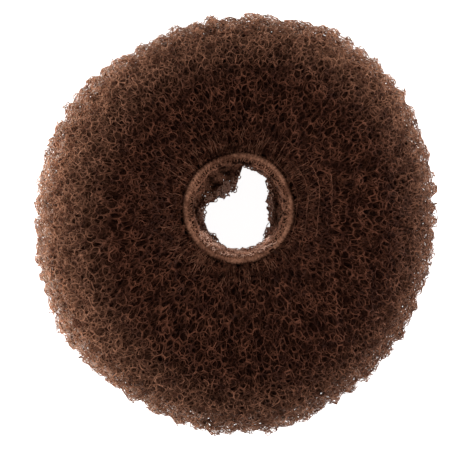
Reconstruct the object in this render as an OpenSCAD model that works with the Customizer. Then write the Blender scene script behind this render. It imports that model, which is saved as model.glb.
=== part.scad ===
// A hair donut for a bun: a sleeve of nylon net rolled up on itself into a soft ring.
// It lies flat with its hole upright. The origin is below the middle of its outline.

/* [Donut] */
// Width across the outline, left to right
donut_w = 90; // [75:1:105]
// Height where the roll is fullest
donut_h = 34; // [30:1:38]
// How far the underside is pressed flat where it rests
rest_press = 1.5; // [1:0.1:2]

/* [Hole] */
// Radius of the hole at its narrowest, half way down
throat_r = 10.6; // [10.2:0.1:10.8]
// Thickness of the hem band round the mouth
hem_t = 1.4; // [1:0.1:1.6]
// Length of the hem band down the wall of the hole
hem_len = 2.6; // [2:0.1:3]
// Thickness of the net end that is tucked into the hole
tuck_t = 0.8; // [0.6:0.1:1]

/* [Net] */
// Thickness of the outer turn of net
cover_t = 1.6; // [1.2:0.1:2]
// Windows round the hole in each row of the outer turn
window_columns = 24; // [16:1:24]
// Rows of windows from the hem over the top and round to the hem again
window_rows = 5; // [3:1:5]
// Width of a window as a share of its cell, round the hole
window_across = 0.7; // [0.4:0.01:0.74]
// Length of a window as a share of its cell, the other way
window_along = 0.8; // [0.5:0.01:0.84]
// Thickness of the rolled net inside
roll_t = 2; // [1.4:0.1:2.2]
// Distance from one inner turn to the next
roll_pitch = 3.6; // [3.4:0.1:3.8]
// Number of inner turns
roll_turns = 2.5; // [1:0.25:2.5]

/* [Hidden] */

NET_BROWN = [0.33, 0.21, 0.16];
ROLL_BROWN = [0.2, 0.12, 0.09];
HEM_BROWN = [0.64, 0.5, 0.42];
TUCK_BROWN = [0.45, 0.31, 0.25];

// The outline: how far the rim reaches from the middle of the hole, in millimetres at REACH_W wide
DIRECTION = 0;
REACH = 1;
REACH_W = 90;
OUTLINE = [
    // direction, reach
    [0, 44.3],
    [20, 44.6],
    [40, 45.7],
    [60, 45.7],
    [80, 44.3],
    [100, 43.4],
    [120, 43.2],
    [140, 44.6],
    [160, 45.2],
    [180, 45.7],
    [200, 47.2],
    [220, 48.8],
    [240, 49],
    [260, 50.4],
    [280, 50.4],
    [300, 48.3],
    [320, 46.6],
    [340, 45]
];
reach_scale = donut_w / REACH_W;
fullest_half_w = (max([for (row = OUTLINE) row[REACH]]) * reach_scale - throat_r) / 2;

// The tucked end: where its ragged edge stands, as a distance from the middle of the hole and a height
EDGE_R = 1;
EDGE_Z = 2;
RAGGED_EDGE = [
    // direction, edge radius, edge height
    [0, 6.3, 12],
    [14, 6.2, 12.5],
    [33, 7.7, 13],
    [51, 9.5, 11.5],
    [65, 9.1, 12.5],
    [86, 9.5, 12],
    [92, 6.5, 14],
    [101, 3.4, 15.5],
    [120, 3.2, 16],
    [140, 3.5, 15],
    [159, 5, 15.5],
    [175, 7.4, 13],
    [201, 7.9, 11],
    [216, 8.3, 12],
    [229, 7.7, 11],
    [245, 8.4, 12],
    [255, 9.4, 10.5],
    [273, 8.2, 12],
    [298, 9.5, 10.5],
    [326, 7.5, 11.5],
    [348, 6.6, 12.5]
];

// A narrow stretch of the roll is this share lower than its width alone would make it
height_follow = 0.15;
// Gap between soft pieces that rest on each other
seat_gap = 0.3;
// Extra room for the flat facets of the cover's inner face
facet_room = 0.7;

// Angles round the roll: 0 outermost, 90 on top, 180 towards the hole. The hem stands at hem_sweep, and
// the cover's two edges stop short of it on either side.
hem_sweep = 158;
hem_half_gap = 7;
cover_start = hem_sweep - hem_half_gap;
cover_end = hem_sweep + hem_half_gap - 360;

// The value of a table's column in any direction, eased from one row to the next
function lerp(a, b, share) = a + (b - a) * share;
function ease(share) = (1 - cos(180 * share)) / 2;
function row_before(table, direction) =
    max([for (i = [0:len(table) - 1]) if (table[i][DIRECTION] <= direction) i]);
function table_value(table, column, direction) =
    let (wrapped = direction - 360 * floor(direction / 360),
         i = row_before(table, wrapped),
         next = (i + 1) % len(table),
         step = (table[next][DIRECTION] - table[i][DIRECTION] + 360) % 360,
         share = (wrapped - table[i][DIRECTION]) / step)
    lerp(table[i][column], table[next][column], ease(share));

// A point of the roll: direction round the hole, sweep round the roll, inset below its outer face
function half_h_at(half_w) =
    (donut_h + rest_press) / 2 * (1 - height_follow * (1 - half_w / fullest_half_w));
function roll_point(direction, sweep, inset) =
    let (reach = table_value(OUTLINE, REACH, direction) * reach_scale,
         half_w = (reach - throat_r) / 2,
         half_h = half_h_at(half_w),
         r = throat_r + half_w + (half_w - inset) * cos(sweep),
         z = half_h - rest_press + (half_h - inset) * sin(sweep))
    [r * cos(direction), r * sin(direction), max(inset, z)];

// A four-cornered face as two triangles, and a list of lists made one list
function quad(a, b, c, d) = [[a, b, c], [a, c, d]];
function flat(lists) = [for (list = lists) for (item = list) item];

// The cover's cells are hexagons in brick order. Lines of corners run round the hole between the rows,
// and go up and down by a share of a row. A cell's sides have a corner half way along too.
ZIGZAG = 1 / 3;
CORNERS = 8;
half_columns = 2 * window_columns;
level_count = window_rows + ZIGZAG;

function wrap(half_column) = (half_column + half_columns) % half_columns;
function line_index(line, half_column) = line * half_columns + wrap(half_column);
mid_first = (window_rows + 1) * half_columns;
function mid_index(row, half_column) =
    mid_first + row * window_columns + floor(wrap(half_column) / 2);
window_first = mid_first + window_rows * window_columns;
function window_index(row, column, corner) =
    window_first + (row * window_columns + column) * CORNERS + corner % CORNERS;
face_points = window_first + window_rows * window_columns * CORNERS;

// The first and last lines are straight. A row's cells have their sides on half columns of one parity,
// so any of those gives the level half way along a side.
function line_level(line, half_column) =
    line == 0 ? 0
    : line == window_rows ? level_count
    : line + ((half_column + line) % 2 == 0 ? 0 : ZIGZAG);
function side_level(row) =
    let (side = row + 1)
    (line_level(row, side) + line_level(row + 1, side)) / 2;
function cover_point(half_column, level, inset) =
    roll_point(
        360 * half_column / half_columns,
        lerp(cover_start, cover_end, level / level_count),
        inset
    );

// A cell's eight corners as [half column, level], and the same corners as indices of points
function cell_corners(row, middle) = [
    [middle, line_level(row, middle)],
    [middle + 1, line_level(row, middle + 1)],
    [middle + 1, side_level(row)],
    [middle + 1, line_level(row + 1, middle + 1)],
    [middle, line_level(row + 1, middle)],
    [middle - 1, line_level(row + 1, middle + 1)],
    [middle - 1, side_level(row)],
    [middle - 1, line_level(row, middle + 1)]
];
function cell_indices(row, middle) = [
    line_index(row, middle),
    line_index(row, middle + 1),
    mid_index(row, middle + 1),
    line_index(row + 1, middle + 1),
    line_index(row + 1, middle),
    line_index(row + 1, middle - 1),
    mid_index(row, middle - 1),
    line_index(row, middle - 1)
];
function cell_middle(row, column) = 2 * column + row % 2;

function cover_face(inset) = concat(
    [for (line = [0:window_rows])
        for (h = [0:half_columns - 1])
            cover_point(h, line_level(line, h), inset)],
    [for (row = [0:window_rows - 1])
        for (i = [0:window_columns - 1])
            cover_point(2 * i + (row + 1) % 2, side_level(row), inset)],
    [for (row = [0:window_rows - 1])
        for (column = [0:window_columns - 1])
            let (middle = cell_middle(row, column),
                 centre = [middle, row + (1 + ZIGZAG) / 2])
            for (corner = cell_corners(row, middle))
                cover_point(
                    lerp(centre[0], corner[0], window_across),
                    lerp(centre[1], corner[1], window_along),
                    inset
                )]
);

function cell_faces(row, column) =
    let (ring = cell_indices(row, cell_middle(row, column)))
    flat([for (c = [0:CORNERS - 1])
        let (a = ring[c],
             b = ring[(c + 1) % CORNERS],
             wa = window_index(row, column, c),
             wb = window_index(row, column, c + 1))
        concat(
            quad(a, b, wb, wa),
            quad(b + face_points, a + face_points, wa + face_points, wb + face_points),
            quad(wa, wb, wb + face_points, wa + face_points)
        )]);

function end_faces(line, first) =
    flat([for (h = [0:half_columns - 1])
        let (a = line_index(line, h),
             b = line_index(line, h + 1))
        first
            ? quad(b, a, a + face_points, b + face_points)
            : quad(a, b, b + face_points, a + face_points)]);

cover_points = concat(cover_face(0), cover_face(cover_t));
cover_faces = concat(
    flat([for (row = [0:window_rows - 1])
        for (column = [0:window_columns - 1])
            cell_faces(row, column)]),
    end_faces(0, true),
    end_faces(window_rows, false)
);

// The middle of the outline goes to the origin, which leaves the hole a little off it
function middle_of(points, axis) =
    let (along = [for (p = points) p[axis]])
    (min(along) + max(along)) / 2;
hole_x = -middle_of(cover_points, 0);
hole_y = -middle_of(cover_points, 1);

// A closed section with the same number of points in every direction, swept round the hole
function sweep_faces(sections, count) =
    flat([for (s = [0:sections - 1])
        for (i = [0:count - 1])
            let (a = s * count + i,
                 b = s * count + (i + 1) % count,
                 t = (s + 1) % sections * count)
            quad(b, a, t + i, t + (i + 1) % count)]);

// The rolled net winds inwards from the hole's side, over the top first. Each turn keeps its depth
// and steps in over its last stretch, behind the hem.
ROLL_SECTIONS = 32;
STEPS_PER_TURN = 12;
STEP_IN = 1 / 6;
roll_steps = floor(roll_turns * STEPS_PER_TURN);
roll_inset = cover_t + seat_gap + facet_room;
function turn_inset(step) =
    let (turn = step / STEPS_PER_TURN,
         whole = floor(turn),
         share = max(0, (turn - whole - 1 + STEP_IN) / STEP_IN))
    roll_inset + roll_pitch * (whole + ease(share));
function roll_section(direction) = concat(
    [for (step = [0:roll_steps])
        roll_point(direction, cover_start - 360 * step / STEPS_PER_TURN, turn_inset(step))],
    [for (step = [roll_steps:-1:0])
        roll_point(direction, cover_start - 360 * step / STEPS_PER_TURN, turn_inset(step) + roll_t)]
);

// The hem stands between the two edges of the cover and leans with the wall of the hole, in degrees
hem_lean = 23;
HEM_SIDES = 96;
BAND_END_SIDES = 32;
typical_half_w = (donut_w / 2 - throat_r) / 2;
typical_half_h = half_h_at(typical_half_w);
hem_r = throat_r + typical_half_w * (1 + cos(hem_sweep)) - seat_gap / 2;
hem_z = typical_half_h - rest_press + typical_half_h * sin(hem_sweep);

// The tucked end hangs inside the hem, follows the wall past the throat and curls in to its ragged edge.
// Most of the curl is near that edge, and a slight flare at the top fades in the first steps.
TUCK_SECTIONS = 48;
TUCK_STEPS = 6;
TUCK_TOP_DROP = 1 / 4;
CURL_POWER = 2.4;
FLARE_POWER = 4;
tuck_flare = 0.2;
tuck_top_r = throat_r - seat_gap;
tuck_top_z = hem_z - hem_len * TUCK_TOP_DROP;
function tuck_point(direction, share, inset) =
    let (edge_r = min(table_value(RAGGED_EDGE, EDGE_R, direction), tuck_top_r - tuck_t),
         edge_z = table_value(RAGGED_EDGE, EDGE_Z, direction),
         flare = tuck_flare * pow(1 - share, FLARE_POWER),
         r = lerp(tuck_top_r, edge_r + tuck_t, pow(share, CURL_POWER)) + flare - inset,
         z = lerp(tuck_top_z, edge_z, share))
    [r * cos(direction), r * sin(direction), z];
function tuck_section(direction) = concat(
    [for (step = [0:TUCK_STEPS]) tuck_point(direction, step / TUCK_STEPS, 0)],
    [for (step = [TUCK_STEPS:-1:0]) tuck_point(direction, step / TUCK_STEPS, tuck_t)]
);

module at_hole() {
    translate([hole_x, hole_y, 0])
        children();
}

module net_cover() {
    color(NET_BROWN)
        at_hole()
            polyhedron(cover_points, cover_faces, convexity = 10);
}

module net_roll() {
    sections = [for (s = [0:ROLL_SECTIONS - 1]) roll_section(360 * s / ROLL_SECTIONS)];
    color(ROLL_BROWN)
        at_hole()
            polyhedron(flat(sections), sweep_faces(ROLL_SECTIONS, len(sections[0])), convexity = 10);
}

module hem_band() {
    straight = hem_len - hem_t;
    square([hem_t, straight], center = true);
    for (side = [-1, 1])
        translate([0, side * straight / 2])
            circle(d = hem_t, $fn = BAND_END_SIDES);
}

module hole_hem() {
    color(HEM_BROWN)
        at_hole()
            translate([0, 0, hem_z])
                rotate_extrude($fn = HEM_SIDES)
                    translate([hem_r, 0])
                        rotate(-hem_lean)
                            hem_band();
}

module tucked_end() {
    sections = [for (s = [0:TUCK_SECTIONS - 1]) tuck_section(360 * s / TUCK_SECTIONS)];
    color(TUCK_BROWN)
        at_hole()
            polyhedron(flat(sections), sweep_faces(TUCK_SECTIONS, len(sections[0])), convexity = 10);
}

net_cover();
net_roll();
hole_hem();
tucked_end();
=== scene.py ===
"""A mesh hair donut: turns of brown nylon net rolled up into a soft ring, lying on a white floor."""

import math

import bpy
import numpy as np
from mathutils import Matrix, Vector
from mathutils.geometry import delaunay_2d_cdt


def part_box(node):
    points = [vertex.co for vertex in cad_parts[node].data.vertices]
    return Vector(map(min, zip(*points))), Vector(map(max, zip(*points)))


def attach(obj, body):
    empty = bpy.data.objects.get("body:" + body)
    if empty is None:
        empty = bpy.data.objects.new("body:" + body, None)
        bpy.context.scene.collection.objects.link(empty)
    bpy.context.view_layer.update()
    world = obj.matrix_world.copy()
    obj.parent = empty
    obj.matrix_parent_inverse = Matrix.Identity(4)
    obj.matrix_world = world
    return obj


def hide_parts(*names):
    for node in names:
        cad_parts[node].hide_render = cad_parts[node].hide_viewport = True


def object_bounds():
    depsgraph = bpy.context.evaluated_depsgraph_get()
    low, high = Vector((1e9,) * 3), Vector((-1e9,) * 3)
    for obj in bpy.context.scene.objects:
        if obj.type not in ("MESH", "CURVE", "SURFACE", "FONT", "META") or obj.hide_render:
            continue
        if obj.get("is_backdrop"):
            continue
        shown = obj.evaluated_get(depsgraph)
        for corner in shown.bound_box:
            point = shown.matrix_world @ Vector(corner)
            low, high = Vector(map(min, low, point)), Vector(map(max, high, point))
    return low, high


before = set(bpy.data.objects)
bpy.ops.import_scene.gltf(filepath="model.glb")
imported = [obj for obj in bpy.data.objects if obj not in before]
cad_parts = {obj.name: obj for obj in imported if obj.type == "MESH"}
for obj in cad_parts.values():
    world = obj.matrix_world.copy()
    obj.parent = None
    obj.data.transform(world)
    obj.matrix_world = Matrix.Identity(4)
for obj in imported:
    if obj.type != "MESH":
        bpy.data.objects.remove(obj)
cad_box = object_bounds()

# The frame, in millimetres
MM = 0.001


def node_box(name):
    """The lowest and the highest corner of a solid's box."""
    low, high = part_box(name)
    return np.array(low) / MM, np.array(high) / MM


HEM_LOW, HEM_HIGH = node_box("hole_hem")
COVER_LOW, COVER_HIGH = node_box("net_cover")
HOLE = (HEM_LOW + HEM_HIGH) / 2
DONUT_H = COVER_HIGH[2]
TUCK_TOP_Z = node_box("tucked_end")[1][2]

# Columns of the two tables below
REACH = 1
EDGE_R = 1
EDGE_Z = 2

# The roll's shape, with the same driving sizes as the solids
REST_PRESS = 1.5
THROAT_R = 10.6
HEIGHT_FOLLOW = 0.15
OUTLINE = np.array([
    # direction, reach from the middle of the hole
    [0, 44.3],
    [20, 44.6],
    [40, 45.7],
    [60, 45.7],
    [80, 44.3],
    [100, 43.4],
    [120, 43.2],
    [140, 44.6],
    [160, 45.2],
    [180, 45.7],
    [200, 47.2],
    [220, 48.8],
    [240, 49],
    [260, 50.4],
    [280, 50.4],
    [300, 48.3],
    [320, 46.6],
    [340, 45],
])
FULLEST_REACH = OUTLINE[:, REACH].max()
FULLEST_HALF_W = (FULLEST_REACH - THROAT_R) / 2

# The tucked end's ragged edge
RAGGED_EDGE = np.array([
    # direction, edge radius, edge height
    [0, 6.3, 12],
    [14, 6.2, 12.5],
    [33, 7.7, 13],
    [51, 10, 11.5],
    [65, 9.6, 12.5],
    [86, 10.2, 12],
    [92, 6.5, 14],
    [101, 3.4, 15.5],
    [120, 3.2, 16],
    [140, 3.5, 15],
    [159, 5, 15.5],
    [175, 7.4, 13],
    [201, 7.9, 11],
    [216, 8.3, 12],
    [229, 7.7, 11],
    [245, 8.8, 12],
    [255, 9.6, 10.5],
    [273, 8.8, 12],
    [298, 9.7, 10.5],
    [326, 7.5, 11.5],
    [348, 6.6, 12.5],
])

# Angles round the roll: 0 outermost, 90 on top, 180 towards the hole
COVER_START = 151
COVER_END = -195
FULL_TURN = 360

# Smooth unevenness is a sum of waves, each this much shorter or longer than the wavelength asked for
WAVES = 7
WAVE_LENGTHS = (0.75, 1.4)

# Vectors shorter than this aren't made one long
LEAST_LENGTH = 1e-9

# How quickly what changes at the rim fades away from it
RIM_STEEPNESS = 3


def unit(vectors):
    """Vectors along the last axis, each made one long."""
    return vectors / np.maximum(np.linalg.norm(vectors, axis=-1, keepdims=True), LEAST_LENGTH)


def upward(count):
    """The upward direction, once for each thread."""
    return np.tile([0.0, 0.0, 1.0], (count, 1))


def table_value(table, column, direction):
    """The value of a table's column in any direction, eased from one row to the next."""
    starts = table[:, 0]
    wrapped = np.mod(direction, FULL_TURN)
    row = np.searchsorted(starts, wrapped, side="right") - 1
    after = (row + 1) % len(table)
    share = (wrapped - starts[row]) / np.mod(starts[after] - starts[row], FULL_TURN)
    eased = (1 - np.cos(np.pi * share)) / 2
    return table[row, column] + (table[after, column] - table[row, column]) * eased


def round_hole(direction, r, z):
    """Points at a distance from the middle of the hole and a height."""
    turn = np.radians(direction)
    return np.stack([HOLE[0] + r * np.cos(turn), HOLE[1] + r * np.sin(turn), z + 0 * r], axis=-1)


def wave(direction, height, crests, shift):
    """A wave with a number of crests round the hole."""
    return height * np.sin(crests * np.radians(direction) + shift)


def ripple(points, wavelength, seed):
    """A smooth field between about -1 and 1 that changes over the wavelength."""
    rng = np.random.default_rng(seed)
    axes = unit(rng.normal(size=(WAVES, 3)))
    phases = rng.uniform(0, 2 * np.pi, WAVES)
    lengths = wavelength * rng.uniform(*WAVE_LENGTHS, WAVES)
    total = np.zeros(len(points))
    for axis, phase, length in zip(axes, phases, lengths):
        total += np.sin(points @ axis * (2 * np.pi / length) + phase)
    return total / math.sqrt(WAVES)


def at_rim(sweep):
    """1 at the outermost part of the roll, fading to 0 on the top and on the underside."""
    return np.clip(np.cos(np.radians(sweep)), 0, 1) ** RIM_STEEPNESS


# A layer lies deeper than its own depth at the rim, where the net is loose, and less deep at the hole
RIM_LOOSENESS = 0.16
HOLE_TIGHTNESS = 0.85


def roll_surface(depth):
    """The roll's surface at a depth below its outer face, by direction and sweep."""

    def points(direction, sweep):
        half_w = (table_value(OUTLINE, REACH, direction) - THROAT_R) / 2
        half_h = (DONUT_H + REST_PRESS) / 2 * (1 - HEIGHT_FOLLOW * (1 - half_w / FULLEST_HALF_W))
        turn = np.radians(sweep)
        side = np.cos(turn)
        inset = depth * (1 + RIM_LOOSENESS * np.clip(side, 0, 1) - HOLE_TIGHTNESS * np.clip(-side, 0, 1))
        r = THROAT_R + half_w + (half_w - inset) * side
        z = half_h - REST_PRESS + (half_h - inset) * np.sin(turn)
        return round_hole(direction, r, np.maximum(z, inset))

    return points


# All layers swell and sink together in bulges, which are low by the hole and underneath
BULGE_LENGTH = 4.9
BULGE_H = 0.5
BULGE_SEED = 5
LEAST_BY_HOLE = 0.15
UNDERSIDE_FALL = 1.2
LEAST_UNDERNEATH = 0.3

# Round the rim the layers also stand out in lobes, which vary in width and height
LOBES = 68
LOBE_H = 1.2
LOBE_MEAN = 2 / math.pi
LOBE_H_VARIATION = 0.28
LOBE_H_WAVE = (LOBE_H_VARIATION, 7, 2)
LOBE_W_WAVE = (1.1, 5, 1)
LOBE_W_SHORT_WAVE = (0.6, 11, 0)


def bulge(direction, sweep):
    """How far the layers swell out."""
    turn = np.radians(sweep)
    by_hole = np.clip(1 + np.cos(turn), LEAST_BY_HOLE, 1)
    underneath = np.clip(1 + UNDERSIDE_FALL * np.sin(turn), LEAST_UNDERNEATH, 1)
    points = roll_surface(0)(direction, sweep)
    swell = BULGE_H * by_hole * underneath * ripple(points, BULGE_LENGTH, BULGE_SEED)
    widths = wave(direction, *LOBE_W_WAVE) + wave(direction, *LOBE_W_SHORT_WAVE)
    lobe = np.abs(np.sin(LOBES / 2 * np.radians(direction) + widths)) - LOBE_MEAN
    height = LOBE_H * (1 - LOBE_H_VARIATION + wave(direction, *LOBE_H_WAVE))
    return swell + height * lobe * at_rim(sweep)


# The tucked end follows the throat, just inside it, and then curls in
TUCK_GAP = 0.3
TUCK_TOP_R = THROAT_R - TUCK_GAP
TUCK_CURL = 2.4


def tuck_surface(direction, share):
    """The tucked end's surface, by direction and by share of the way from its top to its ragged edge."""
    edge_r = table_value(RAGGED_EDGE, EDGE_R, direction)
    edge_z = table_value(RAGGED_EDGE, EDGE_Z, direction)
    down = np.clip(share, 0, None)
    r = TUCK_TOP_R + (edge_r - TUCK_TOP_R) * down**TUCK_CURL
    z = TUCK_TOP_Z + (edge_z - TUCK_TOP_Z) * share
    return round_hole(direction, r, z)


# Meshes
def add_mesh(name, points, quads):
    """A mesh object from points in millimetres and four-cornered faces."""
    mesh = bpy.data.meshes.new(name)
    mesh.vertices.add(len(points))
    mesh.vertices.foreach_set("co", np.asarray(points * MM, np.float32).ravel())
    mesh.loops.add(quads.size)
    mesh.loops.foreach_set("vertex_index", np.asarray(quads, np.int32).ravel())
    mesh.polygons.add(len(quads))
    mesh.polygons.foreach_set("loop_start", np.arange(0, quads.size, quads.shape[1], dtype=np.int32))
    mesh.polygons.foreach_set("use_smooth", np.ones(len(quads), bool))
    mesh.update(calc_edges=True)
    mesh.validate()
    piece = bpy.data.objects.new(name, mesh)
    bpy.context.scene.collection.objects.link(piece)
    return piece


def wall_faces(index, after):
    """Faces between rings of points and the rings that come after them, all closed along the last axis."""
    return np.stack([
        index,
        after,
        np.roll(after, -1, axis=-1),
        np.roll(index, -1, axis=-1),
    ], axis=-1).reshape(-1, 4)


def ring_grid(directions, sides):
    """Even directions round the hole, each with even angles round a section."""
    direction, side = np.meshgrid(
        np.arange(directions) * FULL_TURN / directions,
        np.arange(sides) * FULL_TURN / sides,
        indexing="ij",
    )
    return direction.ravel(), side.ravel()


def add_ring(name, points, directions, sides):
    """A closed ring, from one point for each pair on a ring grid."""
    index = np.arange(len(points)).reshape(directions, sides)
    return add_mesh(name, points, wall_faces(index, np.roll(index, -1, axis=0)))


def dress(piece, material, slot, node):
    """Gives a piece its material, hangs it under the root body and hides the solid that it stands for."""
    piece.data.materials.append(material)
    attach(piece, "root")
    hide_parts(node)


# Nets are laid out on a flat chart, which is repeated beyond its seam by a margin in radians
PROFILE_STEPS = 1200
PROFILE_DIRECTIONS = np.arange(0, FULL_TURN, 30)
ROW_STEP = math.sqrt(3) / 2
SEAM_MARGIN = 0.6
KEY_SCALE = 1e5

# A surface's normals are worked out over steps of this many degrees, or of this share of the way down
NORMAL_STEP = 0.05

# The share of cells that are left out, so that those beside them grow into their place
MERGED_CELLS = 0.14

# The threads round each cell are this much thinner or thicker than the net's
THREAD_RANGE = (0.7, 1.5)

# How many half threads a window's corner stays inside its cell's, and its least share of the way out,
# before and after rounding
CLEARANCE = 1.25
LEAST_OPENING = 0.25
ROUNDED_CLEARANCE = 0.8
LEAST_ROUNDED_OPENING = 0.2


def net_profile(surface, start, end):
    """The mean distance from the hole's axis and the distance along the surface, from start to end."""
    along = np.linspace(start, end, PROFILE_STEPS)
    grid = np.array([surface(np.full(PROFILE_STEPS, d), along) for d in PROFILE_DIRECTIONS])
    r = np.hypot(grid[..., 0] - HOLE[0], grid[..., 1] - HOLE[1]).mean(axis=0)
    steps = np.linalg.norm(np.diff(grid, axis=1), axis=2).mean(axis=0)
    return along, r, np.concatenate([[0], steps])


def net_seeds(r, steps, across, length, jitter, rng):
    """The middles of the net's cells, as angle and height on a flat chart where the cells are round.

    across and length are a cell's size round the hole and along the surface, at each step of the profile.
    """
    chart = np.cumsum(steps * across / length / r)
    seeds = []
    height = 0
    row = 0
    while height < chart[-1]:
        size = np.interp(height, chart, across / r)
        count = round(2 * np.pi / size)
        angle = (np.arange(count) + rng.uniform()) * 2 * np.pi / count
        angle = angle[rng.uniform(size=count) > MERGED_CELLS]
        count = len(angle)
        spread = rng.uniform(-jitter, jitter, (count, 2)) * size
        seeds.append(np.stack([
            np.mod(angle + spread[:, 0], 2 * np.pi),
            height + spread[:, 1],
            np.full(count, row),
        ], axis=1))
        height += size * ROW_STEP
        row += 1
    return chart, np.concatenate(seeds), row


def cell_rings(seeds, rows):
    """The corners of every cell, in order: which cell, which corner, and the corners' own chart places."""
    near_start = seeds[seeds[:, 0] < SEAM_MARGIN] + [2 * np.pi, 0, 0]
    near_end = seeds[seeds[:, 0] > 2 * np.pi - SEAM_MARGIN] - [2 * np.pi, 0, 0]
    every = np.concatenate([seeds, near_start, near_end])
    found = delaunay_2d_cdt([Vector(p) for p in every[:, :2]], [], [], 0, 0)
    places = np.array([v[:] for v in found[0]])
    source = np.array([ids[0] for ids in found[3]])
    triangles = np.array(found[2])
    middles = places[triangles].mean(axis=1)
    # the same corner on both sides of the seam becomes one
    keys = np.round(np.stack([
        np.cos(middles[:, 0]) * KEY_SCALE,
        np.sin(middles[:, 0]) * KEY_SCALE,
        middles[:, 1] * KEY_SCALE,
    ], axis=1))
    first, corner_of = np.unique(keys, axis=0, return_index=True, return_inverse=True)[1:]
    corner_of = corner_of.ravel()
    cell = source[triangles].ravel()
    corner = np.repeat(corner_of, 3)
    away = np.repeat(middles, 3, axis=0) - places[triangles].reshape(-1, 2)
    bearing = np.arctan2(away[:, 1], away[:, 0])
    inner_row = (seeds[:, 2] > 0) & (seeds[:, 2] < rows - 1)
    whole = cell < len(seeds)
    whole[whole] = inner_row[cell[whole]]
    cell, corner, bearing = cell[whole], corner[whole], bearing[whole]
    order = np.lexsort((bearing, cell))
    return cell[order], corner[order], middles[first]


def next_in_ring(cell):
    """For each corner in cell order, the index of the next corner of the same cell."""
    following = np.arange(1, len(cell) + 1)
    starts = np.concatenate([[0], np.nonzero(np.diff(cell))[0] + 1])
    ends = np.concatenate([starts[1:], [len(cell)]]) - 1
    following[ends] = starts
    return following


def cell_means(cell, values):
    """The mean of the values of each cell's corners, repeated at each corner."""
    slots = np.unique(cell, return_inverse=True)[1].ravel()
    count = np.bincount(slots)
    if values.ndim == 1:
        return (np.bincount(slots, values) / count)[slots]
    return np.stack([(np.bincount(slots, v) / count)[slots] for v in values.T], axis=1)


def cell_windows(cell, corners, half, rounding):
    """The corners of each cell's window, drawn in from the cell's own by half a thread and rounded."""
    middles = cell_means(cell, corners)
    inward = middles - corners
    reach = np.linalg.norm(inward, axis=1)
    window = np.maximum(reach - half * CLEARANCE, reach * LEAST_OPENING)
    window += (cell_means(cell, window) - window) * rounding
    window = np.clip(window, LEAST_ROUNDED_OPENING * reach, reach - half * ROUNDED_CLEARANCE)
    return middles - inward / reach[:, None] * window[:, None]


def surface_normals(surface, direction, place, upwards):
    """Unit normals on a surface's outer side.

    upwards is 1 where the places along it rise up that side, as the sweep does, and -1 where they fall.
    """
    step = NORMAL_STEP * upwards
    along_hole = surface(direction + NORMAL_STEP, place) - surface(direction - NORMAL_STEP, place)
    along_side = surface(direction, place + step) - surface(direction, place - step)
    return unit(np.cross(along_hole, along_side))


def size_at(size, place):
    """A size that may be a number or a function of the place along the surface."""
    return size(place) if callable(size) else np.full(len(place), size)


def net(name, surface, start, end, across, length, thread, seed, jitter, rounding, bump, loose,
        swell=None, keep=None, half_round=False):
    """A net on a surface: irregular cells with rounded windows between threads of a rounded section.

    across and length are the size of a cell, thread is the threads' width and loose is how far each knot
    strays from the surface, all as numbers or as functions of the place along it. jitter is how uneven the
    cells are, and rounding how evenly their windows reach out. bump is the wavelength and height of the
    net's own unevenness, swell gives a further lift, and keep says which cells stay. A net that lies under
    others has threads of a half round section.
    """
    rng = np.random.default_rng(seed)
    along, r, steps = net_profile(surface, start, end)
    chart, seeds, rows = net_seeds(r, steps, size_at(across, along), size_at(length, along), jitter, rng)
    cell, corner, chart_places = cell_rings(seeds, rows)
    direction = np.degrees(chart_places[:, 0])
    place = np.interp(chart_places[:, 1], chart, along)
    if keep is not None:
        stays = keep(np.interp(seeds[cell, 1], chart, along), rng.uniform(size=len(seeds))[cell])
        cell, corner = cell[stays], corner[stays]
    used, corner = np.unique(corner, return_inverse=True)
    corner = corner.ravel()
    direction, place = direction[used], place[used]
    knots = surface(direction, place)
    normals = surface_normals(surface, direction, place, np.sign(start - end))
    bump_length, bump_h = bump
    lift = rng.normal(size=len(knots)) * size_at(loose, place) + bump_h * ripple(knots, bump_length, seed)
    if swell is not None:
        lift += swell(direction, place)
    knots = knots + normals * lift[:, None]
    half = size_at(thread, place) / 2
    knots[:, 2] = np.maximum(knots[:, 2], half)
    own_half = half[corner] * rng.uniform(*THREAD_RANGE, len(seeds))[cell]
    windows = cell_windows(cell, knots[corner], own_half, rounding)
    tops = knots + normals * half[:, None]
    count = len(knots)
    following = next_in_ring(cell)
    a, b = corner, corner[following]
    if half_round:
        this = np.arange(len(cell)) + count
        quads = np.stack([b, a, this, following + count], axis=1)
        return add_mesh(name, np.concatenate([tops, windows]), quads)
    bottoms = knots - normals * half[:, None]
    bottoms[:, 2] = np.maximum(bottoms[:, 2], 0)
    this = np.arange(len(cell)) + 2 * count
    that = following + 2 * count
    # an edge with a cell on one side only is closed
    open_side = ~np.isin(a.astype(np.int64) * count + b, b.astype(np.int64) * count + a)
    open_a, open_b = a[open_side], b[open_side]
    quads = np.concatenate([
        np.stack([b, a, this, that], axis=1),
        np.stack([a + count, b + count, that, this], axis=1),
        np.stack([open_a, open_b, open_b + count, open_a + count], axis=1),
    ])
    return add_mesh(name, np.concatenate([tops, bottoms, windows]), quads)


# Threads
THREAD_SIDES = 4
FINE_THREAD_SIDES = 3
END_TAPER = 0.4


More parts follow.
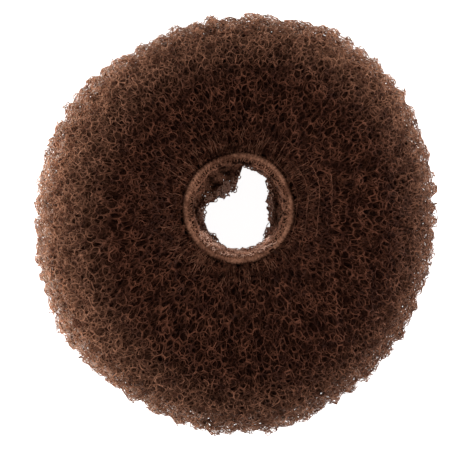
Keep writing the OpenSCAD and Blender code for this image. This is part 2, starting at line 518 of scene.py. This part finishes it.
def threads(name, paths, facing, thickness, closed, sides=THREAD_SIDES):
    """Round threads along paths that all have the same number of points.

    facing holds a direction across each path, and thickness is one width for each path. Threads that aren't
    closed have four sides, because one face closes each end.
    """
    count, steps = paths.shape[:2]
    if closed:
        tangent = unit(np.roll(paths, -1, axis=1) - np.roll(paths, 1, axis=1))
    else:
        tangent = unit(np.gradient(paths, axis=1))
    side = unit(np.cross(tangent, facing[:, None]))
    up = np.cross(side, tangent)
    half = np.broadcast_to(thickness[:, None] / 2, (count, steps)).copy()
    if not closed:
        half[:, [0, -1]] *= END_TAPER
    turns = np.arange(sides) * 2 * np.pi / sides
    offsets = side[:, :, None] * np.cos(turns)[:, None] + up[:, :, None] * np.sin(turns)[:, None]
    points = paths[:, :, None] + offsets * half[:, :, None, None]
    points[..., 2] = np.maximum(points[..., 2], 0)
    index = np.arange(points.size // 3).reshape(count, steps, sides)
    if closed:
        quads = wall_faces(index, np.roll(index, -1, axis=1))
    else:
        quads = np.concatenate([wall_faces(index[:, :-1], index[:, 1:]), index[:, 0], index[:, -1, ::-1]])
    return add_mesh(name, points.reshape(-1, 3), quads)


# How uneven loops of thread are, as shares of their radius
CURL_STEPS = 8
CURL_OVAL = 0.2
CURL_THREE_SIDED = 0.1
CURL_RISE = 0.2


def curl_paths(middles, normals, radii, tilt, rng):
    """Uneven loops of thread, each tilted a little out of its surface, and the way that each one faces."""
    count = len(middles)
    facing = unit(normals + rng.normal(scale=math.tan(math.radians(tilt)), size=(count, 3)))
    first = unit(np.cross(facing, rng.normal(size=(count, 3))))
    second = np.cross(facing, first)
    turns = np.arange(CURL_STEPS) * 2 * np.pi / CURL_STEPS
    phases = rng.uniform(0, 2 * np.pi, (3, count, 1))
    oval = CURL_OVAL * np.cos(2 * turns + phases[0])
    three_sided = CURL_THREE_SIDED * np.cos(3 * turns + phases[1])
    reach = radii[:, None] * (1 + oval + three_sided)
    rise = radii[:, None] * CURL_RISE * np.sin(2 * turns + phases[2])
    paths = middles[:, None] + (
        first[:, None] * (reach * np.cos(turns))[..., None]
        + second[:, None] * (reach * np.sin(turns))[..., None]
        + facing[:, None] * rise[..., None]
    )
    return paths, facing


# Materials
NYLON_SPECULAR = 0.04
GRAIN_DETAIL = 3
PATCH_DETAIL = 2
FIBRE_STRENGTH = 0.35
FIBRE_DEPTH = 0.00008

# Where in the noise the brown turns from dark to light, and from light to the lightest brown of the painted
# light
BROWN_SPAN = (0.4, 0.6)
PAINTED_LIGHT_SPAN = (0.36, 0.6)

# A Mix node's colour sockets
MIX_FIRST = 6
MIX_SECOND = 7
MIX_RESULT = 2

# Painted light, where the brown grows lighter: at the rim it stands for light through the thin net, and by
# the tucked end's ragged edge for backlight from the floor. Each gives the middle, axes that count, start
# and end of the distance from the middle, in metres. At the rim the middle sits off the hole and the axes
# differ, to follow how the light falls on each side.
RIM_PAINTED_LIGHT = ((0.004, -0.0014, 0), (1.04, 0.965, 0), 0.0299, 0.0532)
# The tucked end grows lighter towards its ragged edge: painted backlight from the floor below.
EDGE_PAINTED_BACKLIGHT = ((0, 0.02, 0.03), (0, 1, 1), 0.021, 0.034)

# How light passes through thin threads: how steeply it sets in over the painted light at the rim, how far
# red, green and blue go against each other, and how far that is, in metres
GLOW_STEEPNESS = 4
GLOW_COLOUR = (1, 0.8, 0.65)
GLOW_DEPTH = 0.0003


def principled(name, roughness, specular):
    """A new material, with its nodes, its links and its shader."""
    material = bpy.data.materials.new(name)
    material.use_nodes = True
    nodes = material.node_tree.nodes
    shader = nodes["Principled BSDF"]
    shader.inputs["Roughness"].default_value = roughness
    shader.inputs["Specular IOR Level"].default_value = specular
    return material, nodes, material.node_tree.links, shader


def add_noise(nodes, links, place, scale, detail):
    noise = nodes.new("ShaderNodeTexNoise")
    noise.inputs["Scale"].default_value = scale
    noise.inputs["Detail"].default_value = detail
    links.new(place, noise.inputs["Vector"])
    return noise.outputs["Fac"]


def add_math(nodes, links, operation, first, second, kind="ShaderNodeMath"):
    node = nodes.new(kind)
    node.operation = operation
    links.new(first, node.inputs[0])
    node.inputs[1].default_value = second
    return node


def add_ramp(nodes, links, factor, span, colours):
    ramp = nodes.new("ShaderNodeValToRGB")
    for element, position, colour in zip(ramp.color_ramp.elements, span, colours):
        element.position = position
        element.color = (*colour, 1)
    links.new(factor, ramp.inputs["Fac"])
    return ramp.outputs["Color"]


def painted_light_share(nodes, links, place, painted_light):
    """How much the painted light has lightened the brown at each place, from 0 to 1."""
    middle, axes, start, end = painted_light
    centred = add_math(nodes, links, "SUBTRACT", place, middle, "ShaderNodeVectorMath")
    counted = add_math(nodes, links, "MULTIPLY", centred.outputs["Vector"], axes, "ShaderNodeVectorMath")
    away = nodes.new("ShaderNodeVectorMath")
    away.operation = "LENGTH"
    amount = nodes.new("ShaderNodeMapRange")
    amount.interpolation_type = "SMOOTHSTEP"
    amount.inputs["From Min"].default_value = start
    amount.inputs["From Max"].default_value = end
    links.new(counted.outputs["Vector"], away.inputs[0])
    links.new(away.outputs["Value"], amount.inputs["Value"])
    return amount.outputs["Result"]


def nylon(name, dark, light, painted_light=None, painted_light_brown=None, roughness=0.55, grain=900.0, patch=380.0, patchy=0.6,
          see_through=False):
    """Nylon thread: brown that varies from thread to thread and in patches, with a fine fibre bump.

    The brown grows lighter over a given span, up to a lightest brown: painted light that stands for light
    through the thin net there. patchy is the patches' share.
    see_through says whether light passes through the threads there.
    """
    material, nodes, links, shader = principled(name, roughness, NYLON_SPECULAR)
    place = nodes.new("ShaderNodeTexCoord").outputs["Object"]
    fine = add_noise(nodes, links, place, grain, GRAIN_DETAIL)
    broad = add_noise(nodes, links, place, patch, PATCH_DETAIL)
    patches = add_math(nodes, links, "MULTIPLY", broad, patchy)
    shade = add_math(nodes, links, "MULTIPLY_ADD", fine, 1 - patchy)
    links.new(patches.outputs[0], shade.inputs[2])
    colour = add_ramp(nodes, links, shade.outputs[0], BROWN_SPAN, (dark, light))
    # Over the span the brown turns to a lighter brown: painted light.
    if painted_light is not None:
        amount = painted_light_share(nodes, links, place, painted_light)
        mix = nodes.new("ShaderNodeMix")
        mix.data_type = "RGBA"
        links.new(amount, mix.inputs["Factor"])
        links.new(colour, mix.inputs[MIX_FIRST])
        painted_light_ramp = add_ramp(nodes, links, shade.outputs[0], PAINTED_LIGHT_SPAN, (light, painted_light_brown))
        links.new(painted_light_ramp, mix.inputs[MIX_SECOND])
        colour = mix.outputs[MIX_RESULT]
        if see_through:
            glow = add_math(nodes, links, "POWER", amount, GLOW_STEEPNESS)
            shader.inputs["Subsurface Radius"].default_value = GLOW_COLOUR
            shader.inputs["Subsurface Scale"].default_value = GLOW_DEPTH
            links.new(glow.outputs[0], shader.inputs["Subsurface Weight"])
    bump = nodes.new("ShaderNodeBump")
    bump.inputs["Strength"].default_value = FIBRE_STRENGTH
    bump.inputs["Distance"].default_value = FIBRE_DEPTH
    links.new(colour, shader.inputs["Base Color"])
    links.new(fine, bump.inputs["Height"])
    links.new(bump.outputs["Normal"], shader.inputs["Normal"])
    return material


# The outer thread grows pale towards the rim: painted light that stands for light through the thin net,
# beside the real light that passes through it.
THREAD = nylon(
    "thread_brown", (0.024, 0.0065, 0.0033), (0.088, 0.03, 0.0162),
    RIM_PAINTED_LIGHT, (0.36, 0.174, 0.103), see_through=True,
)
# The same nylon as the outer thread but darker, for the layers under it: painted shade of the deep net. It
# also pales at the rim as painted light.
INNER_THREAD_PAINTED_SHADE = nylon(
    "thread_inner_painted_shade", (0.02, 0.0055, 0.0027), (0.053, 0.0175, 0.0093),
    RIM_PAINTED_LIGHT, (0.32, 0.142, 0.081), see_through=True,
)
# The fluff turns almost white at the rim: painted light.
FLUFF_THREAD = nylon(
    "thread_fluff_brown", (0.03, 0.009, 0.005), (0.12, 0.045, 0.025),
    RIM_PAINTED_LIGHT, (0.78, 0.58, 0.48), see_through=True,
)
PULLED_THREAD = nylon("thread_pulled_brown", (0.05, 0.018, 0.01), (0.12, 0.047, 0.027))
# Lighter than the outer thread: painted light against the shade in the hollow round the hem.
GATHER_THREAD_PAINTED_LIGHT = nylon("thread_gathered_painted_light", (0.035, 0.012, 0.006), (0.15, 0.062, 0.037))
# The tucked end's thread grows much lighter towards its ragged edge: painted backlight from the floor
# below.
TUCK_THREAD = nylon(
    "thread_tucked_brown", (0.02, 0.0065, 0.0032), (0.31, 0.135, 0.082),
    EDGE_PAINTED_BACKLIGHT, (0.8, 0.43, 0.29), grain=600.0,
)
# The ragged edge's loops are pale brown all over: painted backlight from the floor below.
EDGE_THREAD_PAINTED_BACKLIGHT = nylon("thread_edge_painted_backlight", (0.35, 0.16, 0.1), (0.85, 0.54, 0.41))
HEM = nylon(
    "hem_light_brown", (0.122, 0.048, 0.0272), (0.33, 0.152, 0.092),
    grain=1300.0, patch=190.0, patchy=0.5,
)
# The core's dark brown is painted shade of the deep net; it pales at the rim as painted light.
CORE_PAINTED_SHADE = nylon(
    "core_painted_shade", (0.03, 0.0085, 0.0046), (0.073, 0.024, 0.0133),
    RIM_PAINTED_LIGHT, (0.3, 0.122, 0.07), roughness=0.9,
)

# The nets' cells are long and narrow by the hem, finer at the rim and coarser underneath
NET_START = 158
NET_JITTER = 0.62
NET_ROUNDING = 0.45
NET_BUMP = (1.8, 0.15)
KNOT_STRAY = 0.38
RIM_FINENESS = 0.15
UNDERSIDE_COARSENESS = 0.3
RIM_THINNING = 0.28
RIM_THICKENING = 0.3
RIM_TIGHTNESS = 0.55
HEM_NARROWING = 0.82
HEM_STRETCH = 2.4
STRETCH_START = 60
STRETCH_EASING = 0.6
UNDERSIDE_STRETCH_START = -150

# The nets, from the outside inwards
ROLL_NETS = [
    # name, depth, cell, thread, last sweep, seed, replaced node, slot
    ("cover_net_outer", 0.7, 1.46, 0.18, COVER_END, 11, "net_cover", "cover_net"),
    ("cover_net_inner", 1.1, 1.37, 0.19, COVER_END, 12, "net_cover", "cover_net"),
    ("roll_net_first", 1.7, 1.4, 0.22, -110, 13, "net_roll", "inner_net"),
    ("roll_net_second", 2.5, 1.55, 0.28, -110, 14, "net_roll", "inner_net"),
    ("roll_net_third", 3.4, 1.75, 0.34, -110, 15, "net_roll", "inner_net"),
    ("roll_net_fourth", 4.3, 2.1, 0.42, -110, 16, "net_roll", "inner_net"),
]


def near_hem(sweep):
    """1 by the hem, fading to 0 on the top and on the underside."""
    from_top = np.clip((sweep - STRETCH_START) / (COVER_START - STRETCH_START), 0, 1) ** STRETCH_EASING
    from_below = np.clip((UNDERSIDE_STRETCH_START - sweep) / (UNDERSIDE_STRETCH_START - COVER_END), 0, 1)
    return np.maximum(from_top, from_below)


def make_roll_net(name, depth, cell, thread, last, seed, node, slot):
    outer = node == "net_cover"
    fineness = RIM_FINENESS if outer else 0
    gain = -RIM_THINNING if outer else RIM_THICKENING * depth

    def size(sweep, by_hem):
        coarser = UNDERSIDE_COARSENESS * np.clip(-np.sin(np.radians(sweep)), 0, 1)
        return cell * (1 + (by_hem - 1) * near_hem(sweep) - fineness * at_rim(sweep) + coarser)

    piece = net(
        name, roll_surface(depth), NET_START, last,
        across=lambda sweep: size(sweep, HEM_NARROWING),
        length=lambda sweep: size(sweep, HEM_STRETCH),
        thread=lambda sweep: thread * (1 + gain * at_rim(sweep)),
        seed=seed, jitter=NET_JITTER, rounding=NET_ROUNDING, bump=NET_BUMP,
        loose=lambda sweep: KNOT_STRAY * (1 - RIM_TIGHTNESS * at_rim(sweep)),
        swell=bulge, half_round=name != "cover_net_outer",
    )
    # Layers under the outer net take the darker thread: painted shade of the deep layers.
    dress(piece, THREAD if outer else INNER_THREAD_PAINTED_SHADE, slot, node)


# Loops of thread that stand up out of the outer net, and finer ones round the rim
CURLS = [
    # name, material, count, depth, sweeps, share of them at the rim,
    # radii, thicknesses, sides, tilt, seed
    ("net_curls", THREAD, 2150, 0.75, (-70, 150), 0.35,
     (0.6, 1.25), (0.18, 0.26), THREAD_SIDES, 22, 51),
    ("rim_fluff", FLUFF_THREAD, 4100, 1.1, (-32, 38), 1.0,
     (0.4, 0.8), (0.06, 0.1), FINE_THREAD_SIDES, 45, 52),
]
CURL_TRIES = 4
RIM_CURL_SHRINKING = 0.35


def make_curls(name, material, count, depth, sweeps, share, radii, thicknesses, sides, tilt, seed):
    rng = np.random.default_rng(seed)
    surface = roll_surface(depth)
    tries = count * CURL_TRIES
    direction = rng.uniform(0, FULL_TURN, tries)
    sweep = rng.uniform(*sweeps, tries)
    middles = surface(direction, sweep)
    r = np.hypot(middles[:, 0] - HOLE[0], middles[:, 1] - HOLE[1])
    chance = r / FULLEST_REACH * (1 - (1 - share) * at_rim(sweep))
    kept = np.nonzero(rng.uniform(size=tries) < chance)[0][:count]
    direction, sweep = direction[kept], sweep[kept]
    normals = surface_normals(surface, direction, sweep, 1)
    middles = middles[kept] + normals * bulge(direction, sweep)[:, None]
    sizes = rng.uniform(*radii, len(kept)) * (1 - RIM_CURL_SHRINKING * at_rim(sweep))
    paths, facing = curl_paths(middles, normals, sizes, tilt, rng)
    piece = threads(name, paths, facing, rng.uniform(*thicknesses, len(kept)), closed=True, sides=sides)
    dress(piece, material, "cover_net", "net_cover")


# Threads pulled straight in the outer net, to the right of the hole, and the short threads between them
PULLED = [
    # sweep, first direction, last direction, thickness
    (149, -40, 55, 0.26),
    (136, -30, 42, 0.26),
    (125, -22, 30, 0.22),
    (114, -4, 22, 0.18),
]
RUNG_GAPS = 2
PULLED_SEED = 61
PULLED_STEPS = 60
PULLED_BEND = 1.6
PULLED_BENDS = 7
PULLED_STRAY = 0.35
RUNG_SPACING = 3.4
RUNG_STEPS = 5
RUNG_STRAY = 0.5
RUNG_SLANT = 1.5
RUNG_THICKNESS = (0.11, 0.16)
MISSING_RUNGS = 0.35


def make_pulled_threads():
    rng = np.random.default_rng(PULLED_SEED)
    surface = roll_surface(0.0)
    rails = []
    thicknesses = []
    for sweep, first, last, thickness in PULLED:
        direction = np.linspace(first, last, PULLED_STEPS)
        bend = wave(direction, PULLED_BEND, PULLED_BENDS, math.radians(sweep))
        bend += rng.normal(scale=PULLED_STRAY, size=PULLED_STEPS)
        rails.append(surface(direction, sweep + bend))
        thicknesses.append(thickness)
    rails, thicknesses = np.array(rails), np.array(thicknesses)
    piece = threads("pulled_threads", rails, upward(len(rails)), thicknesses, closed=False)
    dress(piece, PULLED_THREAD, "cover_net", "net_cover")
    along = np.linspace(0, 1, RUNG_STEPS)
    rungs = []
    for inner, outer in zip(PULLED[:RUNG_GAPS], PULLED[1:]):
        sweep, first, last = inner[:3]
        next_sweep, next_first, next_last = outer[:3]
        places = np.arange(max(first, next_first), min(last, next_last), RUNG_SPACING)
        places = places + rng.normal(scale=RUNG_STRAY, size=len(places))
        for place in places[rng.uniform(size=len(places)) > MISSING_RUNGS]:
            slant = place + rng.normal(scale=RUNG_SLANT) * along
            rungs.append(surface(slant, sweep + (next_sweep - sweep) * along))
    thicknesses = rng.uniform(*RUNG_THICKNESS, len(rungs))
    piece = threads("pulled_rungs", np.array(rungs), upward(len(rungs)), thicknesses, closed=False)
    dress(piece, PULLED_THREAD, "cover_net", "net_cover")


# Threads of the outer net that are drawn together under the hem, most of them above and below the hole
GATHERS = 210
GATHER_SEED = 81
GATHER_DEPTH = 0.35
GATHER_TRIES = 3
GATHER_STEPS = 7
GATHER_START = 156
GATHER_REACH = (8, 32)
GATHER_WANDER = 1.3
GATHER_LIFT = 0.15
GATHER_THICKNESS = (0.14, 0.22)
GATHERS_BESIDE = 0.15


def make_gathers():
    rng = np.random.default_rng(GATHER_SEED)
    surface = roll_surface(GATHER_DEPTH)
    direction = rng.uniform(0, FULL_TURN, GATHERS * GATHER_TRIES)
    chance = GATHERS_BESIDE + (1 - GATHERS_BESIDE) * np.abs(np.sin(np.radians(direction)))
    direction = np.sort(direction[rng.uniform(size=len(direction)) < chance][:GATHERS])
    reach = rng.uniform(*GATHER_REACH, GATHERS)
    along = np.linspace(0, 1, GATHER_STEPS)
    wander = np.cumsum(rng.normal(scale=GATHER_WANDER, size=(GATHERS, GATHER_STEPS)), axis=1)
    sweep = GATHER_START - reach[:, None] * along
    paths = surface((direction[:, None] + wander * along).ravel(), sweep.ravel())
    paths = paths.reshape(GATHERS, GATHER_STEPS, 3)
    paths[..., 2] += rng.normal(scale=GATHER_LIFT, size=(GATHERS, GATHER_STEPS))
    thicknesses = rng.uniform(*GATHER_THICKNESS, GATHERS)
    piece = threads("hem_gathers", paths, upward(GATHERS), thicknesses, closed=False)
    # Their lighter brown is painted light against the shade by the hem.
    dress(piece, GATHER_THREAD_PAINTED_LIGHT, "cover_net", "net_cover")


# The innermost turns, packed too tightly to see between, drawn as one solid dark sheet: painted shade of
# the deep net
CORE_DEPTH = 4.8
CORE_DIRECTIONS = 120
CORE_SWEEPS = 60
CORE_RIM_SWELL = 1.2
CORE_LEAST_BY_HOLE = 0.1
CORE_LUMPS = [
    # height, wavelength, seed
    (0.35, 3.0, 31),
    (0.3, 9.0, 32),
]


def make_core():
    direction, sweep = ring_grid(CORE_DIRECTIONS, CORE_SWEEPS)
    surface = roll_surface(CORE_DEPTH)
    points = surface(direction, sweep)
    normals = surface_normals(surface, direction, sweep, 1)
    lumps = sum(height * ripple(points, wavelength, seed) for height, wavelength, seed in CORE_LUMPS)
    lift = lumps * np.clip(1 + np.cos(np.radians(sweep)), CORE_LEAST_BY_HOLE, 1)
    lift += CORE_RIM_SWELL * at_rim(sweep)
    points += normals * (lift + bulge(direction, sweep))[:, None]
    piece = add_ring("rolled_core", points, CORE_DIRECTIONS, CORE_SWEEPS)
    # Dark core: painted shade of the deep net.
    dress(piece, CORE_PAINTED_SHADE, "inner_net", "net_roll")


# The tucked end's layers, which start just above its top
TUCK_NETS = [
    # name, seed, how far it stands back from the hole's side, cell, thread
    ("tucked_net_inner", 21, 0.0, 1.15, 0.3),
    ("tucked_net_middle", 22, 0.4, 0.78, 0.4),
    ("tucked_net_outer", 23, 0.8, 0.78, 0.48),
    ("tucked_net_last", 24, 1.2, 0.78, 0.55),
]
TUCK_NET_START = -0.12
TUCK_NET_END = 1.01
TUCK_JITTER = 0.33
TUCK_ROUNDING = 0.55
TUCK_BUMP = (3.0, 0.25)
TUCK_STRAY = 0.15

# Towards the edge more and more cells are missing, up to a share
FRAY_START = 0.92
FRAY_RATE = 4
FRAY_MOST = 0.5


def unfrayed(share, chance):
    """Which cells of the tucked end stay, by how far down they are."""
    return chance > np.clip((share - FRAY_START) * FRAY_RATE, 0, FRAY_MOST)


def make_tucked_net(name, seed, back, cell, thread):
    def surface(direction, share):
        points = tuck_surface(direction, share)
        outward = unit((points - HOLE) * [1, 1, 0])
        return points + outward * back * np.clip(share, 0, 1)[:, None]

    piece = net(
        name, surface, TUCK_NET_START, TUCK_NET_END, cell, cell, thread, seed,
        TUCK_JITTER, TUCK_ROUNDING, TUCK_BUMP, TUCK_STRAY, keep=unfrayed,
    )
    dress(piece, TUCK_THREAD, "tucked_net", "tucked_end")


# Loops of the ragged end's thread, by its edge and, at the lower side of the mouth, from the hem down
EDGE_CURL_SEED = 71
EDGE_CURLS = 240
EDGE_CURL_RADIUS = (0.35, 0.7)
EDGE_CURL_THICKNESS = (0.18, 0.3)
EDGE_CURL_SHARES = (0.78, 0.95)
EDGE_CURL_TILT = 40
EDGE_CURL_LIFT = 0.45
LIP_CURLS = 300
LIP_DIRECTIONS = (212, 318)
LIP_R = (11.0, 9.3)
LIP_DOWN = (0.7, 3.6)


def make_edge_curls():
    rng = np.random.default_rng(EDGE_CURL_SEED)
    direction = rng.uniform(0, FULL_TURN, EDGE_CURLS)
    at_edge = tuck_surface(direction, rng.uniform(*EDGE_CURL_SHARES, EDGE_CURLS))
    down = rng.uniform(size=LIP_CURLS)
    at_lip = round_hole(
        rng.uniform(*LIP_DIRECTIONS, LIP_CURLS),
        LIP_R[0] + (LIP_R[1] - LIP_R[0]) * down,
        HEM_HIGH[2] - LIP_DOWN[0] - (LIP_DOWN[1] - LIP_DOWN[0]) * down,
    )
    middles = np.concatenate([at_edge + [0, 0, EDGE_CURL_LIFT], at_lip])
    count = len(middles)
    radii = rng.uniform(*EDGE_CURL_RADIUS, count)
    paths, facing = curl_paths(middles, upward(count), radii, EDGE_CURL_TILT, rng)
    thicknesses = rng.uniform(*EDGE_CURL_THICKNESS, count)
    piece = threads("tucked_edge_curls", paths, facing, thicknesses, closed=True)
    # Pale loops: painted backlight.
    dress(piece, EDGE_THREAD_PAINTED_BACKLIGHT, "tucked_net", "tucked_end")


# The dense band round the mouth of the hole, finely ribbed
HEM_STEPS = 720
HEM_SIDES = 14
HEM_LEAN = math.radians(23)
HEM_HALF_T = 0.82
HEM_HALF_LEN = 1.35
HEM_INSET = 0.22
HEM_MIDDLE_R = (HEM_HIGH[0] - HEM_LOW[0]) / 2 - HEM_HALF_T - HEM_INSET

# Its sway, thickness and length vary slowly round it, and its ribs drift more quickly
HEM_FIELD_R = 12.0
HEM_SLOW = (14.0, 41)
HEM_QUICK = (5.0, 42)
HEM_SWAY = 0.15
HEM_T_VARIATION = 0.1
HEM_LEN_VARIATION = 0.06
HEM_RIBS = 92
HEM_RIB_H = 0.07
HEM_RIB_TWIST = 1.5
HEM_RIB_DRIFT = 1.2


def make_hem():
    direction, side = ring_grid(HEM_STEPS, HEM_SIDES)
    turn = np.radians(side)
    field = round_hole(direction, np.full(len(direction), HEM_FIELD_R), 0.0)
    slow = ripple(field, *HEM_SLOW)
    drift = HEM_RIB_DRIFT * ripple(field, *HEM_QUICK)
    rib = HEM_RIB_H * np.sin(np.radians(direction) * HEM_RIBS + HEM_RIB_TWIST * np.sin(turn) + drift)
    out = (HEM_HALF_T * (1 + HEM_T_VARIATION * slow) + rib) * np.cos(turn)
    up = (HEM_HALF_LEN * (1 + HEM_LEN_VARIATION * slow) + rib) * np.sin(turn)
    r = HEM_MIDDLE_R + out * math.cos(HEM_LEAN) + up * math.sin(HEM_LEAN) + HEM_SWAY * slow
    z = HOLE[2] + up * math.cos(HEM_LEAN) - out * math.sin(HEM_LEAN)
    piece = add_ring("hem_band", round_hole(direction, r, z), HEM_STEPS, HEM_SIDES)
    dress(piece, HEM, "hem_band", "hole_hem")


# Stitches from the inside of the band down to the tucked end
SEAM_STITCHES = 150
SEAM_SEED = 91
SEAM_STEPS = 6
SEAM_THICKNESS = (0.22, 0.34)
SEAM_DIRECTION_STRAY = 0.5
SEAM_R_STRAY = 0.12
SEAM_SLANT = 2.0
SEAM_FACING_RISE = 0.6

# Where they start and end: distance from the middle of the band, and height over its top
SEAM_START = (-0.35, -0.35)
SEAM_END = (-1.75, -2.3)


def make_seam():
    rng = np.random.default_rng(SEAM_SEED)
    direction = np.arange(SEAM_STITCHES) * FULL_TURN / SEAM_STITCHES
    direction = direction + rng.normal(scale=SEAM_DIRECTION_STRAY, size=SEAM_STITCHES)
    along = np.linspace(0, 1, SEAM_STEPS)
    r = HEM_MIDDLE_R + SEAM_START[0] + (SEAM_END[0] - SEAM_START[0]) * along
    z = HEM_HIGH[2] + SEAM_START[1] + (SEAM_END[1] - SEAM_START[1]) * along**2
    r = r + rng.normal(scale=SEAM_R_STRAY, size=(SEAM_STITCHES, SEAM_STEPS))
    slant = rng.normal(scale=SEAM_SLANT, size=SEAM_STITCHES)[:, None] * along
    paths = round_hole(direction[:, None] + slant, r, z)
    turn = np.radians(direction)
    facing = np.stack([-np.cos(turn), -np.sin(turn), np.full(SEAM_STITCHES, SEAM_FACING_RISE)], axis=1)
    thicknesses = rng.uniform(*SEAM_THICKNESS, SEAM_STITCHES)
    piece = threads("seam_stitches", paths, facing, thicknesses, closed=False)
    dress(piece, HEM, "hem_band", "hole_hem")


for row in ROLL_NETS:
    make_roll_net(*row)
for row in CURLS:
    make_curls(*row)
make_pulled_threads()
make_gathers()
make_core()
for row in TUCK_NETS:
    make_tucked_net(*row)
make_edge_curls()
make_hem()
make_seam()

# The floor, in metres, with the share of light that it throws back and the light that it gives itself
FLOOR_SIZE = 3
FLOOR_CELLS = 4
FLOOR_WHITE = 0.9
FLOOR_GLOW = 0.95
FLOOR_ROUGHNESS = 0.8
FLOOR_SPECULAR = 0.1

# Light from four soft panels and all round
LIGHTS = [
    # name, place in metres, power in watts
    ("left_softbox", (-0.75, 0.05, 0.24), 9.2),
    ("right_softbox", (0.75, 0.1, 0.24), 10.0),
    ("back_softbox", (-0.15, 0.75, 0.28), 3.1),
    ("front_softbox", (-0.15, -0.75, 0.28), 3.5),
]
LIGHT_SIZE = 0.5
WORLD_STRENGTH = 0.2
WHITE = (1, 1, 1, 1)

# The camera looks almost straight down. The outline's middle and width are in pixels of the photo
PHOTO_W = 464
PHOTO_H = 456
OUTLINE_MIDDLE = (235, 223)
OUTLINE_W = 404
PIXEL = (COVER_HIGH[0] - COVER_LOW[0]) / OUTLINE_W
CAMERA_AWAY = 600
CAMERA_RISE = math.radians(88)
CLIP_START = 0.01
SENSOR = 36


def make_floor():
    bpy.ops.mesh.primitive_grid_add(
        x_subdivisions=FLOOR_CELLS, y_subdivisions=FLOOR_CELLS, size=FLOOR_SIZE, location=(0, 0, 0),
    )
    floor = bpy.context.object
    floor.name = "floor"
    material, nodes, links, shader = principled("floor_white", FLOOR_ROUGHNESS, FLOOR_SPECULAR)
    shader.inputs["Base Color"].default_value = (FLOOR_WHITE, FLOOR_WHITE, FLOOR_WHITE, 1)
    shader.inputs["Emission Color"].default_value = WHITE
    shader.inputs["Emission Strength"].default_value = FLOOR_GLOW
    floor.data.materials.append(material)
    floor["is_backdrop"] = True


def add_light(name, place, power):
    light = bpy.data.lights.new(name, "AREA")
    light.size = LIGHT_SIZE
    light.energy = power
    lamp = bpy.data.objects.new(name, light)
    bpy.context.scene.collection.objects.link(lamp)
    lamp.location = place
    lamp.rotation_euler = (-Vector(place)).to_track_quat("-Z", "Y").to_euler()


def make_light():
    world = bpy.data.worlds.new("studio")
    world.use_nodes = True
    background = world.node_tree.nodes["Background"]
    background.inputs["Color"].default_value = WHITE
    background.inputs["Strength"].default_value = WORLD_STRENGTH
    bpy.context.scene.world = world
    for name, place, power in LIGHTS:
        add_light(name, place, power)


def make_camera():
    data = bpy.data.cameras.new("camera")
    data.sensor_width = SENSOR
    data.lens = SENSOR * CAMERA_AWAY / (PHOTO_W * PIXEL)
    data.clip_start = CLIP_START
    camera = bpy.data.objects.new("camera", data)
    bpy.context.scene.collection.objects.link(camera)
    target = np.array([
        (PHOTO_W / 2 - OUTLINE_MIDDLE[0]) * PIXEL,
        (OUTLINE_MIDDLE[1] - PHOTO_H / 2) * PIXEL,
        DONUT_H / 2,
    ])
    back = np.array([0, -math.cos(CAMERA_RISE), math.sin(CAMERA_RISE)])
    camera.location = (target + back * CAMERA_AWAY) * MM
    camera.rotation_euler = (math.pi / 2 - CAMERA_RISE, 0, 0)
    bpy.context.scene.camera = camera


make_floor()
make_light()
make_camera()
bpy.context.scene.view_settings.view_transform = "Standard"

str([[list(map(float, corner)) for corner in box] for box in (cad_box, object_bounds())])
